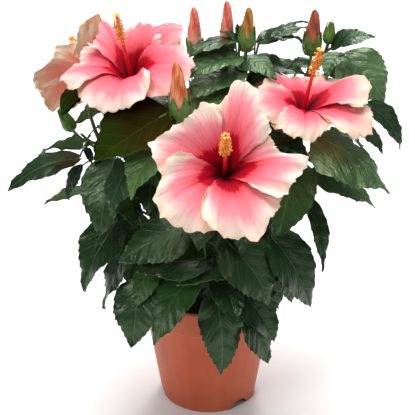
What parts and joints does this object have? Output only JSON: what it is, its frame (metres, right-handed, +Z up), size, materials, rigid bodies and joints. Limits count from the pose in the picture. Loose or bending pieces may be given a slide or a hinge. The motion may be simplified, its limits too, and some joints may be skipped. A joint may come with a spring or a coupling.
{
  "type": "potted hibiscus shrub",
  "caption": "Young flowering hibiscus shrub in a tapered clay-coloured nursery pot, with broad toothed leaves, open pink blooms with a long column, and upright buds.",
  "frame": {"origin": "centre of the pot's flat underside", "axes": "+Z up along the pot's axis; -Y is the side seen in the picture; +X is to its right"},
  "size_m": [0.3644, 0.3294, 0.392],
  "materials": {
    "clay_plastic": "satin moulded plastic in a clay colour",
    "potting_soil": "dark crumbly potting soil, matt",
    "bark": "grey-brown young bark with small raised pores",
    "leaf": "glossy deep green leaves with paler veins",
    "petal": "coral-pink petals with a crimson eye and a cream ruffled edge"
  },
  "bodies": {
    "root": {"pot": "clay_plastic", "soil": "potting_soil", "trunk": "bark", "bough_left": "bark", "bough_left_front": "bark", "bough_left_low": "bark", "bough_front": "bark", "bough_front_right": "bark", "bough_right": "bark", "bough_right_top": "bark", "bough_top": "bark", "bough_back_left": "bark", "bough_back": "bark", "bough_back_right": "bark", "bough_low_back_left": "bark", "bough_low_back": "bark", "bough_low_back_right": "bark", "foliage_left": "leaf", "foliage_left_front": "leaf", "foliage_left_low": "leaf", "foliage_front": "leaf", "foliage_front_right": "leaf", "foliage_right": "leaf", "foliage_right_top": "leaf", "foliage_top": "leaf", "foliage_back_left": "leaf", "foliage_back": "leaf", "foliage_back_right": "leaf", "foliage_low_back_left": "leaf", "foliage_low_back": "leaf", "foliage_low_back_right": "leaf", "bloom_front": "petal", "bloom_left": "petal", "bloom_right": "petal", "bloom_far_left": "petal"}
  },
  "joints": []
}
